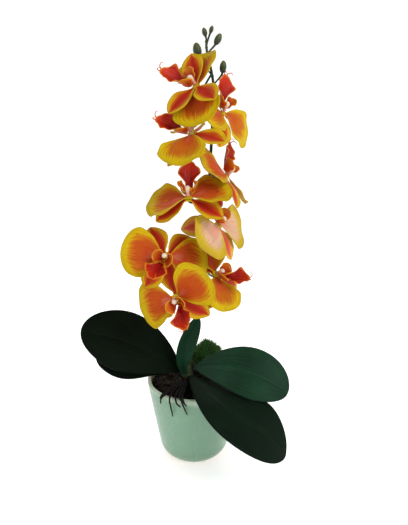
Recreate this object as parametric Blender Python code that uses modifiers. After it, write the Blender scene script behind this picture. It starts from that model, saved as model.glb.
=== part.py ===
"""Potted moth orchid: one spike of nine open flowers and five buds, five leaves, aerial roots and moss,
in a round-footed glazed pot. Metres, +Z up. The origin is on the pot's axis, at its flat underside."""

import math
from collections import namedtuple

import bmesh
import bpy
from mathutils import Matrix, Vector

# ---------------------------------------------------------------- driving dimensions
GAP = 0.0003  # clearance between pieces that touch

POT_HEIGHT = 0.100
POT_RIM_RADIUS = 0.0575
POT_BASE_RADIUS = 0.0400  # where the straight side would meet the table
POT_WALL = 0.0045
POT_FOOT_ROUNDING = 0.020
POT_SEGMENTS = 32

MIX_DEPTH_BELOW_RIM = 0.007
MIX_CROWN_RISE = 0.006

CROWN_AT = Vector((-0.008, 0.000, 0.0))
CROWN_RADIUS = 0.0075
CROWN_TOP = 0.114

PETAL_LENGTH, PETAL_WIDTH = 0.045, 0.050
SEPAL_LENGTH, SEPAL_WIDTH = 0.040, 0.024
FLOWER_SHEET = 0.0010  # thickness of petals and sepals
BACK_DEPTH, FRONT_DEPTH = -0.0012, 0.0008  # middle of each whorl, in front of the flower's own origin
HUB_RADIUS = 0.0036
COLUMN_LENGTH, COLUMN_RADIUS = 0.0110, 0.0024
COLUMN_BASE = FRONT_DEPTH + FLOWER_SHEET / 2 + 2 * GAP
LIP_LENGTH, LIP_WIDTH = 0.033, 0.020
EAR_LENGTH, EAR_WIDTH = 0.018, 0.014
LIP_BELOW = 0.0056  # below the column
LIP_BEND, EAR_BEND = 40, 52  # degrees forward

LEAF_THICKNESS = 0.0018
SPIKE_FOOT_RADIUS, SPIKE_TIP_RADIUS = 0.0024, 0.0012
PEDICEL_RADIUS = 0.0013

# Every flower: its centre, the way it faces (degrees to the right of the front, and above level), its turn
# (0 hangs the lip, 180 holds it up), then each petal and each sepal as (direction, forward bend, twist) in the
# flower's own plane, the height at which its stalk leaves the spike, and which of the two whorls lies in front.
Flower = namedtuple("Flower", "centre facing rise turn petals sepals spike_z front")
FLOWERS = (
    Flower((0.0050, -0.044, 0.4318), -38, 46, -82, ((16, -12, 0), (198, 16, -6)), ((50, 3, -6), (200, 27, 0), (336, 4, -8)), 0.447, "sepals"),
    Flower((0.0314, -0.015, 0.4098), 47, 42, 169, ((21, 12, -8), (154, -14, 12)), ((74, -18, 0), (212, -24, 0), (332, -20, 0)), 0.398, "petals"),
    Flower((0.0010, -0.052, 0.3884), -40, 44, -79, ((1, 8, -10), (208, -20, 2)), ((73, -6, -14), (208, -30, 0), (322, -10, 0)), 0.380, "petals"),
    Flower((0.0361, -0.022, 0.3449), 84, 41, 150, ((-8, -5, -6), (178, -5, 4)), ((85, -10, 0), (200, -14, 0), (300, -10, 0)), 0.345, "petals"),
    Flower((-0.0030, -0.058, 0.3255), -10, 62, 182, ((0, -8, -4), (207, 4, 3)), ((26, -22, -14), (158, -16, 8), (270, -12, 0)), 0.318, "petals"),
    Flower((0.0275, -0.040, 0.2955), 55, 36, -161, ((4, 0, -8), (147, 0, 14)), ((84, -14, 0), (210, -15, 0), (318, -32, -12)), 0.285, "petals"),
    Flower((-0.0258, -0.068, 0.2687), 0, 24, -25, ((18, -15, -14), (201, 20, 0)), ((70, -28, 0), (143, -16, 10), (258, -16, 0)), 0.262, "petals"),
    Flower((-0.0155, -0.077, 0.2282), -12, 2, 34, ((5, 16, 6), (166, -6, 12)), ((74, -10, 0), (190, -24, 0), (292, -14, 10)), 0.222, "petals"),
    Flower((0.0250, -0.034, 0.2402), 44, 38, 40, ((45, 2, 0), (210, 8, 0)), ((84, -14, 0), (194, -14, 0), (296, -12, 0)), 0.236, "petals"),
)

# The spike's route, from between the leaves to its tip.
SPIKE_ROUTE = (
    (-0.0060, 0.0140, 0.0996),
    (-0.0045, 0.0130, 0.125),
    (0.0035, 0.0080, 0.171),
    (0.0105, 0.0040, 0.210),
    (0.0150, 0.0000, 0.260),
    (0.0170, 0.0000, 0.306),
    (0.0191, 0.0000, 0.350),
    (0.0212, 0.0000, 0.393),
    (0.0229, -0.0040, 0.429),
    (0.0208, -0.0080, 0.448),
    (0.0156, -0.0110, 0.469),
    (0.0148, -0.0130, 0.479),
)

# Buds: height on the spike where the stalk leaves, centre of the bud, its long axis, length and width.
Bud = namedtuple("Bud", "spike_z centre axis length width")
BUDS = (
    Bud(0.446, (0.0055, -0.0110, 0.4705), (-0.20, 0.0, 1.0), 0.0150, 0.0085),
    Bud(0.437, (0.0320, -0.0100, 0.4550), (0.10, 0.0, 1.0), 0.0125, 0.0070),
    Bud(0.466, (0.0265, -0.0130, 0.4805), (0.55, 0.0, 1.0), 0.0120, 0.0066),
    Bud(0.4785, (0.0130, -0.0135, 0.4870), (-0.30, 0.0, 1.0), 0.0085, 0.0050),
    Bud(0.473, (0.0198, -0.0130, 0.4895), (0.35, 0.0, 1.0), 0.0075, 0.0042),
)

# Leaves: foot, middle and tip of the midrib, full width, the way the upper face looks at the middle, and the
# depth of the fold along the midrib as a share of the half width.
Leaf = namedtuple("Leaf", "foot middle tip width face fold")
LEAVES = (
    Leaf((-0.0165, -0.0040, 0.1100), (-0.0680, -0.022, 0.1515), (-0.1267, -0.032, 0.1744), 0.068, (0.15, -0.80, 0.60), 0.08),
    Leaf((-0.0165, 0.0035, 0.1065), (-0.0740, 0.012, 0.1215), (-0.1200, 0.004, 0.1165), 0.064, (-0.1, -0.66, 0.75), 0.10),
    Leaf((0.0005, 0.0010, 0.1115), (0.0572, -0.030, 0.1235), (0.1085, -0.043, 0.1015), 0.063, (0.1, -0.62, 0.78), 0.08),
    Leaf((-0.0040, -0.0090, 0.1045), (0.0470, -0.0765, 0.0970), (0.0995, -0.0945, 0.0625), 0.074, (0.40, -0.45, 0.80), 0.08),
    Leaf((-0.0125, -0.0090, 0.1080), (-0.0112, -0.0140, 0.1441), (0.0060, -0.006, 0.1800), 0.022, (0.35, -0.94, 0.10), 0.70),
)

# Aerial roots: each one's points, from the crown over the rim.
ROOTS = (
    ((-0.0185, -0.0110, 0.1010), (-0.0270, -0.0380, 0.1040), (-0.0350, -0.0485, 0.1022), (-0.0372, -0.0500, 0.0985)),
    ((-0.0165, -0.0140, 0.1010), (-0.0262, -0.0410, 0.1040), (-0.0355, -0.0505, 0.0995), (-0.0367, -0.0490, 0.0915)),
    ((-0.0145, -0.0160, 0.1010), (-0.0235, -0.0450, 0.1040), (-0.0262, -0.0553, 0.0985), (-0.0228, -0.0515, 0.0765)),
    ((-0.0120, -0.0160, 0.1010), (-0.0190, -0.0490, 0.1040), (-0.0185, -0.0585, 0.0985), (-0.0135, -0.0575, 0.0920)),
    ((-0.0095, -0.0160, 0.1010), (-0.0150, -0.0500, 0.1040), (-0.0118, -0.0600, 0.0985), (-0.0060, -0.0565, 0.0820)),
    ((-0.0070, -0.0160, 0.1010), (-0.0120, -0.0505, 0.1040), (-0.0098, -0.0600, 0.1000), (-0.0068, -0.0605, 0.0955)),
)
ROOT_RADIUS = 0.0011

MOSS_CENTRE = Vector((0.016, 0.033, 0.1105))
MOSS_SIZE = Vector((0.019, 0.013, 0.022))


# ---------------------------------------------------------------- small helpers
def clear_scene():
    for obj in list(bpy.data.objects):
        bpy.data.objects.remove(obj)


def make_material(name, colour, roughness):
    material = bpy.data.materials.new(name)
    material.use_nodes = True
    shader = material.node_tree.nodes["Principled BSDF"]
    shader.inputs["Base Color"].default_value = (*colour, 1.0)
    shader.inputs["Roughness"].default_value = roughness
    shader.inputs["Metallic"].default_value = 0.0
    return material


def add_object(name, data, collection, material=None):
    obj = bpy.data.objects.new(name, data)
    collection.objects.link(obj)
    if material is not None:
        obj.data.materials.clear()
        obj.data.materials.append(material)
    return obj


def evaluated_mesh(obj):
    """The object's mesh with its modifiers applied, welded, in the object's own space."""
    bpy.context.view_layer.update()
    graph = bpy.context.evaluated_depsgraph_get()
    mesh = bpy.data.meshes.new_from_object(obj.evaluated_get(graph))
    shape = bmesh.new()
    shape.from_mesh(mesh)
    bmesh.ops.remove_doubles(shape, verts=shape.verts, dist=1e-6)
    bmesh.ops.recalc_face_normals(shape, faces=shape.faces)
    shape.to_mesh(mesh)
    shape.free()
    return mesh


def as_mesh_object(obj):
    """Replaces a curve or a modified object by a plain mesh object of the same name and place."""
    name, matrix, collection = obj.name, obj.matrix_world.copy(), obj.users_collection[0]
    mesh = evaluated_mesh(obj)
    bpy.data.objects.remove(obj)
    made = bpy.data.objects.new(name, mesh)
    collection.objects.link(made)
    made.matrix_world = matrix
    return made


def union(name, pieces, material):
    """Joins mesh objects into one body, called name."""
    body = pieces[0]
    for piece in pieces[1:]:
        joint = body.modifiers.new("join", "BOOLEAN")
        joint.operation = "UNION"
        joint.solver = "EXACT"
        joint.object = piece
    matrix = body.matrix_world.copy()
    collection = body.users_collection[0]
    mesh = evaluated_mesh(body)
    for piece in pieces:
        bpy.data.objects.remove(piece)
    joined = add_object(name, mesh, collection, material)
    joined.matrix_world = matrix
    return joined


def shade_round(obj, angle=40):
    obj.data.shade_smooth()
    obj.data.set_sharp_from_angle(angle=math.radians(angle))


def smooth_route(points, steps):
    """A Catmull-Rom curve through the points, with steps stretches between each two."""
    points = [Vector(p) for p in points]
    ends = [points[0] * 2 - points[1], *points, points[-1] * 2 - points[-2]]
    route = []
    for i in range(len(points) - 1):
        a, b, c, d = ends[i : i + 4]
        for k in range(steps):
            t = k / steps
            route.append(
                0.5 * (2 * b + (c - a) * t + (2 * a - 5 * b + 4 * c - d) * t**2 + (3 * b - a - 3 * c + d) * t**3)
            )
    return [*route, points[-1]]


def tube(name, route, radii, collection, material):
    """A round stalk along the route, as thick at each point as radii says."""
    data = bpy.data.curves.new(name, "CURVE")
    data.dimensions = "3D"
    data.bevel_depth = 1.0
    data.bevel_resolution = 1
    data.use_fill_caps = True
    spline = data.splines.new("POLY")
    spline.points.add(len(route) - 1)
    for point, place, radius in zip(spline.points, route, radii):
        point.co = (*place, 1.0)
        point.radius = radius
    return add_object(name, data, collection, material)


# ---------------------------------------------------------------- sheet shapes: petals, sepals, leaves
def outline(share, bluntness, lean):
    """Half width of a petal or leaf at a share of its length, as a share of its greatest half width."""
    def rise(t):
        return math.sin(math.pi * t) ** bluntness * t**lean

    greatest = max(rise(k / 40) for k in range(1, 40))
    return rise(min(max(share, 1e-4), 1 - 1e-4)) / greatest


def add_grid(shape, rows, columns):
    """Adds a flat grid, rows drawn together towards both ends; returns its vertices with (across, along) shares."""
    made = bmesh.ops.create_grid(shape, x_segments=columns, y_segments=rows, size=1.0)
    return [(v, v.co.x, (1 - math.cos(math.pi * (v.co.y + 1) / 2)) / 2) for v in made["verts"]]


Blade = namedtuple("Blade", "angle bend twist length width rows columns bluntness lean neck curl cup start")


def add_blade(shape, blade, place):
    """Adds one petal, sepal or lip lobe. It grows at blade.angle, bent forward, from blade.start off the middle."""
    turn = (
        place
        @ Matrix.Rotation(math.radians(blade.angle - 90), 4, "Z")
        @ Matrix.Translation((0, blade.start, 0))
        @ Matrix.Rotation(math.radians(blade.bend), 4, "X")
    )
    root = []
    for vertex, across, along in add_grid(shape, blade.rows, blade.columns):
        half = max(blade.neck, blade.width / 2 * outline(along, blade.bluntness, blade.lean))
        height = -blade.curl * along**2 + blade.cup * across**2 * math.sin(math.pi * along)
        twist = Matrix.Rotation(math.radians(blade.twist * min(1.0, 3 * along)), 4, "Y")
        vertex.co = turn @ twist @ Vector((across * half, along * blade.length, height))
        if along < 1e-6:
            root.append((across, vertex))
    return [vertex for _, vertex in sorted(root, key=lambda pair: -pair[0])]


def whorl(name, blades, place, thickness, collection, material):
    """Blades grown together at a small plate in the middle, as one sheet of even thickness."""
    shape = bmesh.new()
    ring = []
    for blade in sorted(blades, key=lambda b: b.angle % 360):
        ring += add_blade(shape, blade, place)
    shape.faces.new(ring)
    bmesh.ops.recalc_face_normals(shape, faces=shape.faces)
    mesh = bpy.data.meshes.new(name)
    shape.to_mesh(mesh)
    shape.free()
    obj = add_object(name, mesh, collection, material)
    thick = obj.modifiers.new("thickness", "SOLIDIFY")
    thick.thickness = thickness
    thick.offset = 0.0
    return obj


# ---------------------------------------------------------------- flowers
def flower_matrix(flower):
    """The flower's own frame: +X to its right, +Y away from the lip, +Z the way it faces."""
    return (
        Matrix.Translation(flower.centre)
        @ Matrix.Rotation(math.radians(flower.facing), 4, "Z")
        @ Matrix.Rotation(math.radians(90 - flower.rise), 4, "X")
        @ Matrix.Rotation(math.radians(flower.turn), 4, "Z")
    )


def make_petals(name, flower, collection, material):
    depth = FRONT_DEPTH if flower.front == "petals" else BACK_DEPTH
    blades = [
        Blade(angle, bend, twist, PETAL_LENGTH - HUB_RADIUS, PETAL_WIDTH, 5, 4, 0.52, 0.30, 0.0030, 0.004, 0.003, HUB_RADIUS)
        for angle, bend, twist in flower.petals
    ]
    return whorl(name, blades, Matrix.Translation((0, 0, depth)), FLOWER_SHEET, collection, material)


def make_sepals(name, flower, collection, material):
    depth = BACK_DEPTH if flower.front == "petals" else FRONT_DEPTH
    blades = [
        Blade(angle, bend, twist, SEPAL_LENGTH - HUB_RADIUS, SEPAL_WIDTH, 4, 2, 0.70, 0.20, 0.0024, 0.003, 0.0015, HUB_RADIUS)
        for angle, bend, twist in flower.sepals
    ]
    return whorl(name, blades, Matrix.Translation((0, 0, depth)), FLOWER_SHEET, collection, material)


def make_column(name, collection, material):
    shape = bmesh.new()
    bmesh.ops.create_cone(
        shape,
        cap_ends=True,
        segments=8,
        radius1=COLUMN_RADIUS * 0.85,
        radius2=COLUMN_RADIUS,
        depth=COLUMN_LENGTH,
        matrix=Matrix.Translation((0, 0, COLUMN_BASE + COLUMN_LENGTH / 2)),
    )
    mesh = bpy.data.meshes.new(name)
    shape.to_mesh(mesh)
    shape.free()
    return add_object(name, mesh, collection, material)


def make_lip(name, collection, material):
    """The lip: a tongue that grows forward and down from under the column, with a standing ear on each side."""
    start = 0.0022
    blades = [
        Blade(270, LIP_BEND, 0, LIP_LENGTH - start, LIP_WIDTH, 5, 2, 0.55, 0.30, 0.0020, -0.004, 0.003, start),
        Blade(10, EAR_BEND, 0, EAR_LENGTH - start, EAR_WIDTH, 3, 2, 0.60, 0.35, 0.0016, 0.0, 0.0, start),
        Blade(170, EAR_BEND, 0, EAR_LENGTH - start, EAR_WIDTH, 3, 2, 0.60, 0.35, 0.0016, 0.0, 0.0, start),
    ]
    place = Matrix.Translation((0, -LIP_BELOW, COLUMN_BASE + FLOWER_SHEET / 2))
    return whorl(name, blades, place, FLOWER_SHEET, collection, material)


def make_flower(number, flower, collection, materials):
    name = f"flower_{number}"
    pieces = (
        make_petals(name + "_petals", flower, collection, materials["petal"]),
        make_sepals(name + "_sepals", flower, collection, materials["sepal"]),
        make_column(name + "_column", collection, materials["column"]),
        make_lip(name + "_lip", collection, materials["lip"]),
    )
    for piece in pieces:
        piece.matrix_world = flower_matrix(flower)


# ---------------------------------------------------------------- spike and buds
def point_on_route(route, height):
    """The point of the spike at this height, and the way it grows there."""
    for low, high in zip(route, route[1:]):
        if low.z <= height <= high.z:
            share = (height - low.z) / (high.z - low.z)
            return low.lerp(high, share), (high - low).normalized()
    return route[-1], (route[-1] - route[-2]).normalized()


def bezier_route(start, start_pull, end_pull, end, steps):
    route = []
    for k in range(steps + 1):
        t = k / steps
        route.append(
            start * (1 - t) ** 3 + start_pull * 3 * t * (1 - t) ** 2 + end_pull * 3 * t**2 * (1 - t) + end * t**3
        )
    return route


def make_spike(collection, material):
    """The flower spike with the stalks of its flowers and buds, grown as one piece."""
    route = smooth_route(SPIKE_ROUTE, 3)
    shares = [k / (len(route) - 1) for k in range(len(route))]
    radii = [SPIKE_FOOT_RADIUS + (SPIKE_TIP_RADIUS - SPIKE_FOOT_RADIUS) * s for s in shares]
    pieces = [as_mesh_object(tube("spike_main", route, radii, collection, material))]
    for number, flower in enumerate(FLOWERS, 1):
        matrix = flower_matrix(flower)
        facing = matrix.to_3x3() @ Vector((0, 0, 1))
        start, growth = point_on_route(route, flower.spike_z)
        end = matrix @ Vector((0, 0, BACK_DEPTH - FLOWER_SHEET / 2 - 3 * GAP))
        stalk = bezier_route(start, start + growth * 0.006, end - facing * 0.012, end, 6)
        radii = [PEDICEL_RADIUS] * len(stalk)
        pieces.append(as_mesh_object(tube(f"pedicel_{number}", stalk, radii, collection, material)))
    for number, bud in enumerate(BUDS, 1):
        axis = Vector(bud.axis).normalized()
        start, growth = point_on_route(route, bud.spike_z)
        end = Vector(bud.centre) - axis * (bud.length / 2 + GAP)
        stalk = bezier_route(start, start + growth * 0.003, end - axis * 0.004, end, 4)
        radii = [PEDICEL_RADIUS * 0.8] * len(stalk)
        pieces.append(as_mesh_object(tube(f"bud_stalk_{number}", stalk, radii, collection, material)))
    spike = union("spike", pieces, material)
    shade_round(spike)


def make_bud(number, bud, collection, material):
    shape = bmesh.new()
    bmesh.ops.create_uvsphere(shape, u_segments=8, v_segments=6, radius=0.5)
    mesh = bpy.data.meshes.new(f"bud_{number}")
    shape.to_mesh(mesh)
    shape.free()
    obj = add_object(f"bud_{number}", mesh, collection, material)
    turn = Vector((0, 0, 1)).rotation_difference(Vector(bud.axis)).to_matrix().to_4x4()
    size = Matrix.Diagonal((bud.width, bud.width, bud.length, 1.0))
    obj.data.transform(size)
    obj.matrix_world = Matrix.Translation(bud.centre) @ turn
    shade_round(obj)


# ---------------------------------------------------------------- leaves
def make_leaf(number, leaf, collection, material):
    """A strap leaf: the grid's rows ride on a curved midrib, and each row lies across the way the face looks."""
    foot, middle, tip = Vector(leaf.foot), Vector(leaf.middle), Vector(leaf.tip)
    pull = middle * 2 - (foot + tip) / 2
    face = Vector(leaf.face).normalized()
    shape = bmesh.new()
    for vertex, across, along in add_grid(shape, 8, 4):
        rib = foot * (1 - along) ** 2 + pull * 2 * along * (1 - along) + tip * along**2
        growth = ((pull - foot) * (1 - along) + (tip - pull) * along).normalized()
        side = growth.cross(face).normalized()
        normal = side.cross(growth)
        half = max(0.004, leaf.width / 2 * outline(along, 0.50, 0.30))
        vertex.co = rib + side * across * half + normal * abs(across) * half * leaf.fold
    mesh = bpy.data.meshes.new(f"leaf_{number}")
    shape.to_mesh(mesh)
    shape.free()
    obj = add_object(f"leaf_{number}", mesh, collection, material)
    thick = obj.modifiers.new("thickness", "SOLIDIFY")
    thick.thickness = LEAF_THICKNESS
    thick.offset = 0.0
    shade_round(obj)


def make_crown(collection, material):
    """The short stout stem that the leaves clasp."""
    foot = POT_HEIGHT - MIX_DEPTH_BELOW_RIM + MIX_CROWN_RISE + GAP
    shape = bmesh.new()
    bmesh.ops.create_cone(
        shape,
        cap_ends=True,
        segments=12,
        radius1=CROWN_RADIUS,
        radius2=CROWN_RADIUS * 0.55,
        depth=CROWN_TOP - foot,
        matrix=Matrix.Translation((CROWN_AT.x, CROWN_AT.y, (CROWN_TOP + foot) / 2)),
    )
    mesh = bpy.data.meshes.new("crown")
    shape.to_mesh(mesh)
    shape.free()
    add_object("crown", mesh, collection, material)


def make_root(number, points, collection, material):
    route = smooth_route(points, 4)
    radii = [ROOT_RADIUS * (1 - 0.55 * k / (len(route) - 1)) for k in range(len(route))]
    tube(f"root_{number}", route, radii, collection, material)


# ---------------------------------------------------------------- pot, potting mix and moss
def side_radius(height):
    """Radius of the pot's straight side at a height."""
    return POT_BASE_RADIUS + (POT_RIM_RADIUS - POT_BASE_RADIUS) * height / POT_HEIGHT


def arc(centre_x, centre_z, radius, start, end, steps):
    """Points of an arc in the profile plane, from the start angle to the end angle in degrees."""
    points = []
    for k in range(steps + 1):
        angle = math.radians(start + (end - start) * k / steps)
        points.append((centre_x + radius * math.cos(angle), centre_z + radius * math.sin(angle)))
    return points


def turned(name, profile, collection, material):
    """A solid turned about Z from a profile of (radius, height) points."""
    shape = bmesh.new()
    corners = [shape.verts.new((radius, 0.0, height)) for radius, height in profile]
    for low, high in zip(corners, corners[1:]):
        shape.edges.new((low, high))
    mesh = bpy.data.meshes.new(name)
    shape.to_mesh(mesh)
    shape.free()
    obj = add_object(name, mesh, collection, material)
    screw = obj.modifiers.new("turn", "SCREW")
    screw.steps = screw.render_steps = POT_SEGMENTS
    screw.use_merge_vertices = True
    screw.merge_threshold = 1e-5
    screw.use_smooth_shade = True
    return obj


def make_pot(collection, material):
    slope = math.degrees(math.atan2(POT_RIM_RADIUS - POT_BASE_RADIUS, POT_HEIGHT))
    lean = math.cos(math.radians(slope))
    foot_x = side_radius(POT_FOOT_ROUNDING) - POT_FOOT_ROUNDING / lean
    rim_round = POT_WALL / 2
    rim_x = side_radius(POT_HEIGHT - rim_round) - rim_round / lean
    inner_rounding = POT_FOOT_ROUNDING - POT_WALL
    profile = [(0.0, POT_WALL)]
    profile += arc(foot_x, POT_FOOT_ROUNDING, inner_rounding, -90, -slope, 4)
    profile += arc(rim_x, POT_HEIGHT - rim_round, rim_round, 180 - slope, -slope, 5)
    profile += arc(foot_x, POT_FOOT_ROUNDING, POT_FOOT_ROUNDING, -slope, -90, 5)
    profile += [(0.0, 0.0)]
    turned("pot", profile, collection, material)


def make_mix(collection, material):
    """The bark mix: it fills the pot from the floor, and heaps up slightly round the crown."""
    slope = math.degrees(math.atan2(POT_RIM_RADIUS - POT_BASE_RADIUS, POT_HEIGHT))
    lean = math.cos(math.radians(slope))
    foot_x = side_radius(POT_FOOT_ROUNDING) - POT_FOOT_ROUNDING / lean
    rounding = POT_FOOT_ROUNDING - POT_WALL - 2 * GAP
    top = POT_HEIGHT - MIX_DEPTH_BELOW_RIM
    wall_x = side_radius(top) - (POT_WALL + 2 * GAP) / lean
    profile = [(0.0, top + MIX_CROWN_RISE)]
    profile += [(wall_x * 0.35, top + MIX_CROWN_RISE * 0.85), (wall_x * 0.7, top + MIX_CROWN_RISE * 0.35)]
    profile += [(wall_x, top)]
    profile += arc(foot_x, POT_FOOT_ROUNDING, rounding, -slope, -90, 4)
    profile += [(0.0, POT_FOOT_ROUNDING - rounding)]
    turned("potting_mix", profile, collection, material)


def make_moss(collection, material):
    """A lumpy cushion of moss behind the crown."""
    shape = bmesh.new()
    bmesh.ops.create_icosphere(shape, subdivisions=3, radius=1.0)
    for vertex in shape.verts:
        x, y, z = vertex.co
        lump = 1 + 0.10 * math.sin(7 * x + 2) * math.sin(6 * y + 1) + 0.08 * math.sin(9 * z + 4 * x)
        vertex.co = Vector((x * MOSS_SIZE.x, y * MOSS_SIZE.y, max(z, -0.55) * MOSS_SIZE.z)) * lump
    mesh = bpy.data.meshes.new("moss")
    shape.to_mesh(mesh)
    shape.free()
    obj = add_object("moss", mesh, collection, material)
    obj.matrix_world = Matrix.Translation(MOSS_CENTRE)
    shade_round(obj)


# ---------------------------------------------------------------- the whole plant
def main():
    clear_scene()
    collection = bpy.data.collections.new("potted_orchid")
    bpy.context.scene.collection.children.link(collection)
    materials = {
        "petal": make_material("petal", (0.48, 0.14, 0.006), 0.60),
        "sepal": make_material("sepal", (0.44, 0.10, 0.008), 0.60),
        "lip": make_material("lip", (0.38, 0.02, 0.004), 0.50),
        "column": make_material("column", (0.62, 0.46, 0.36), 0.45),
        "leaf": make_material("leaf", (0.006, 0.024, 0.011), 0.55),
        "stem": make_material("stem", (0.020, 0.028, 0.010), 0.60),
        "bud": make_material("bud", (0.030, 0.055, 0.015), 0.50),
        "root": make_material("root", (0.006, 0.005, 0.004), 0.70),
        "glaze": make_material("glaze", (0.21, 0.37, 0.26), 0.25),
        "bark": make_material("bark", (0.012, 0.008, 0.005), 0.90),
        "moss": make_material("moss", (0.020, 0.070, 0.012), 0.90),
    }
    make_pot(collection, materials["glaze"])
    make_mix(collection, materials["bark"])
    make_moss(collection, materials["moss"])
    make_crown(collection, materials["stem"])
    make_spike(collection, materials["stem"])
    for number, leaf in enumerate(LEAVES, 1):
        make_leaf(number, leaf, collection, materials["leaf"])
    for number, flower in enumerate(FLOWERS, 1):
        make_flower(number, flower, collection, materials)
    for number, bud in enumerate(BUDS, 1):
        make_bud(number, bud, collection, materials["bud"])
    for number, points in enumerate(ROOTS, 1):
        make_root(number, points, collection, materials["root"])


main()
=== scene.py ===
# A potted moth orchid. Every piece repeats the growth rule of the solid it stands for, at a finer step, and adds
# what the solid leaves out: ruffled margins, veins, ribs, bracts, bark chips, strands of moss. Metres, +Z up.

import math
import random
from collections import namedtuple

import bmesh
import bpy
from mathutils import Matrix, Vector, noise


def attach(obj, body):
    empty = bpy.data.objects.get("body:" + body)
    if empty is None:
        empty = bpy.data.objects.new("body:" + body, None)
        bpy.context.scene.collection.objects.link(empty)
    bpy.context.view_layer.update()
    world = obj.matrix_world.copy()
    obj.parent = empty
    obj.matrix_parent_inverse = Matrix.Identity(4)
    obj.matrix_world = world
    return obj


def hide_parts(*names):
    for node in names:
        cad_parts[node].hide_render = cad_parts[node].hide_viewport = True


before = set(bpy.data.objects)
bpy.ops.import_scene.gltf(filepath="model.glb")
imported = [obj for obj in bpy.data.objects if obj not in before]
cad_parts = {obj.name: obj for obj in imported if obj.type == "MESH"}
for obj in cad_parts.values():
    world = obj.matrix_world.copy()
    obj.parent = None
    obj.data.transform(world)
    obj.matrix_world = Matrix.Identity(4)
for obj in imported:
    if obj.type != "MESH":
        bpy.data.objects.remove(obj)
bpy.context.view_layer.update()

# ---------------------------------------------------------------- sizes
GAP = 0.0003
POT_HEIGHT, POT_RIM_RADIUS, POT_BASE_RADIUS = 0.100, 0.0575, 0.0400
POT_WALL, POT_FOOT_ROUNDING = 0.0045, 0.020
MIX_DEPTH_BELOW_RIM, MIX_CROWN_RISE = 0.007, 0.006
CROWN_AT, CROWN_RADIUS, CROWN_TOP = Vector((-0.008, 0.000, 0.0)), 0.0075, 0.114
PETAL_LENGTH, PETAL_WIDTH = 0.045, 0.050
SEPAL_LENGTH, SEPAL_WIDTH = 0.040, 0.024
CAD_SHEET = 0.0010  # thickness of the coarse petals, which sets where each whorl lies
PETAL_SHEET, LEAF_SHEET = 0.0006, 0.0014
BACK_DEPTH, FRONT_DEPTH, HUB_RADIUS = -0.0012, 0.0008, 0.0036
COLUMN_LENGTH = 0.0110
COLUMN_BASE = FRONT_DEPTH + CAD_SHEET / 2 + 2 * GAP
LIP_LENGTH, LIP_WIDTH, EAR_LENGTH, EAR_WIDTH = 0.033, 0.020, 0.018, 0.014
LIP_BELOW, LIP_BEND, EAR_BEND, LIP_START = 0.0056, 40, 52, 0.0022
SPIKE_FOOT_RADIUS, SPIKE_TIP_RADIUS, PEDICEL_RADIUS = 0.0024, 0.0012, 0.0011
ROOT_RADIUS = 0.0016
MOSS_CENTRE, MOSS_SIZE = Vector((0.016, 0.033, 0.1105)), Vector((0.019, 0.013, 0.022))
BARK_CHIPS = 460

# Centre, facing, rise, turn; petals and sepals as (direction, forward bend, twist); where the stalk leaves the
# spike, which whorl lies in front, and the tone of its print.
Flower = namedtuple("Flower", "centre facing rise turn petals sepals spike_z front tone")
FLOWERS = (
    Flower(
        (0.0050, -0.044, 0.4318), -38, 46, -82, ((16, -12, 0), (198, 16, -6)),
        ((50, 3, -6), (200, 27, 0), (336, 4, -8)), 0.447, "sepals", "vivid",
    ),
    Flower(
        (0.0314, -0.015, 0.4098), 47, 42, 169, ((21, 12, -8), (154, -14, 12)),
        ((74, -18, 0), (212, -24, 0), (332, -20, 0)), 0.398, "petals", "golden",
    ),
    Flower(
        (0.0010, -0.052, 0.3884), -40, 44, -79, ((1, 8, -10), (208, -20, 2)),
        ((73, -6, -14), (208, -30, 0), (322, -10, 0)), 0.380, "petals", "golden",
    ),
    Flower(
        (0.0361, -0.022, 0.3449), 84, 41, 150, ((-8, -5, -6), (178, -5, 4)),
        ((85, -10, 0), (200, -14, 0), (300, -10, 0)), 0.345, "petals", "rosy",
    ),
    Flower(
        (-0.0030, -0.058, 0.3255), -10, 62, 182, ((0, -8, -4), (207, 4, 3)),
        ((26, -22, -14), (158, -16, 8), (270, -12, 0)), 0.318, "petals", "vivid",
    ),
    Flower(
        (0.0275, -0.040, 0.2955), 55, 36, -161, ((4, 0, -8), (147, 0, 14)),
        ((84, -14, 0), (210, -15, 0), (318, -32, -12)), 0.285, "petals", "pale",
    ),
    Flower(
        (-0.0258, -0.068, 0.2687), 0, 24, -25, ((18, -15, -14), (201, 20, 0)),
        ((70, -28, 0), (143, -16, 10), (258, -16, 0)), 0.262, "petals", "vivid",
    ),
    Flower(
        (-0.0155, -0.077, 0.2282), -12, 2, 34, ((5, 16, 6), (166, -6, 12)),
        ((74, -10, 0), (190, -24, 0), (292, -14, 10)), 0.222, "petals", "vivid",
    ),
    Flower(
        (0.0250, -0.034, 0.2402), 44, 38, 40, ((45, 2, 0), (210, 8, 0)),
        ((84, -14, 0), (194, -14, 0), (296, -12, 0)), 0.236, "petals", "golden",
    ),
)
SPIKE_ROUTE = (
    (-0.0060, 0.0140, 0.0996), (-0.0045, 0.0130, 0.125), (0.0035, 0.0080, 0.171), (0.0105, 0.0040, 0.210),
    (0.0150, 0.0000, 0.260), (0.0170, 0.0000, 0.306), (0.0191, 0.0000, 0.350), (0.0212, 0.0000, 0.393),
    (0.0229, -0.0040, 0.429), (0.0208, -0.0080, 0.448), (0.0156, -0.0110, 0.469), (0.0148, -0.0130, 0.479),
)
Bud = namedtuple("Bud", "spike_z centre axis length width")
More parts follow.
